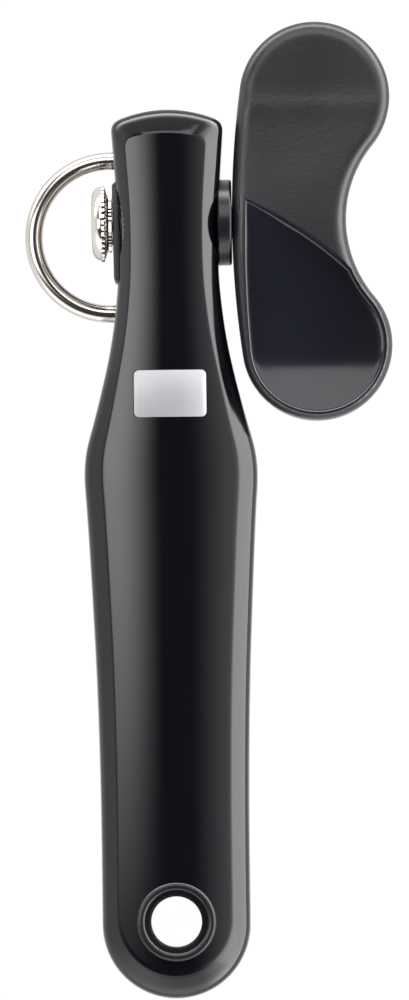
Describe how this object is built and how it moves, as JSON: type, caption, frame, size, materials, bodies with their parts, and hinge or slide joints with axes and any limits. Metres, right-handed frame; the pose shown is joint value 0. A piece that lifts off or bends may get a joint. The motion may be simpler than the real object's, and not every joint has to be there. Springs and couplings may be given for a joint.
{
  "type": "manual can opener",
  "caption": "One-hand can opener: long black handle with hanging hole, wire guide bow, geared feed wheel and cutting wheel at the head, turned by a two-lobed knob.",
  "frame": {"origin": "under the middle of the opener's box, on the plane it rests on when it lies on its back", "axes": "+Y up the handle towards the head, +X towards the knob, +Z out of the front face"},
  "size_m": [0.0786, 0.2094, 0.0331],
  "materials": {
    "black_moulding": "high gloss black ABS, moulded",
    "black_moulding_satin": "black moulded plastic, semi gloss",
    "black_knob": "black moulded plastic, fine satin grain",
    "black_plate": "black coated bearing plate",
    "brushed_badge": "brushed, clear coated",
    "polished_wire": "polished stainless wire",
    "polished_steel": "polished, hardened",
    "hardened_steel": "ground and hardened",
    "turned_steel": "turned",
    "frame_steel": "zinc plated sheet",
    "plated_steel": "zinc plated",
    "spring_steel": "oiled spring steel",
    "insert_brass": "turned"
  },
  "bodies": {
    "handle": {"front_shell": "black_moulding", "back_shell": "black_moulding", "badge_plate": "brushed_badge", "hanging_eyelet": "black_moulding_satin", "housing_screws": "plated_steel", "head_frame": "frame_steel", "bearing_sleeve": "turned_steel", "stop_pin": "turned_steel", "bearing_plate": "black_plate", "wave_washer": "spring_steel", "guide_bow": "polished_wire", "bow_washers": "plated_steel", "bow_nuts": "plated_steel", "cutter_washer": "turned_steel", "cutter_axle": "turned_steel"},
    "cutter": {"cutting_wheel": "hardened_steel"},
    "eccentric": {"eccentric_bush": "black_moulding_satin", "eccentric_clip": "spring_steel"},
    "drive": {"drive_spindle": "turned_steel", "spindle_clip": "spring_steel", "feed_wheel": "polished_steel", "knurled_ring": "polished_steel", "thrust_washer": "turned_steel", "knob": "black_knob", "knob_insert": "insert_brass", "knob_screw": "plated_steel", "knob_plug": "black_knob"}
  },
  "joints": [
    {"name": "eccentric_turn", "type": "hinge", "parent": "handle", "child": "eccentric", "pos_m": [-0.00862, 0.06183, 0.0195], "axis": [-1, 0, 0], "range_deg": [0, 90]},
    {"name": "knob_spin", "type": "hinge", "parent": "eccentric", "child": "drive", "pos_m": [-0.00862, 0.06183, 0.021], "axis": [-1, 0, 0], "continuous": true},
    {"name": "cutter_spin", "type": "hinge", "parent": "handle", "child": "cutter", "pos_m": [-0.00862, 0.06333, 0.00565], "axis": [-1, 0, 0], "continuous": true}
  ]
}
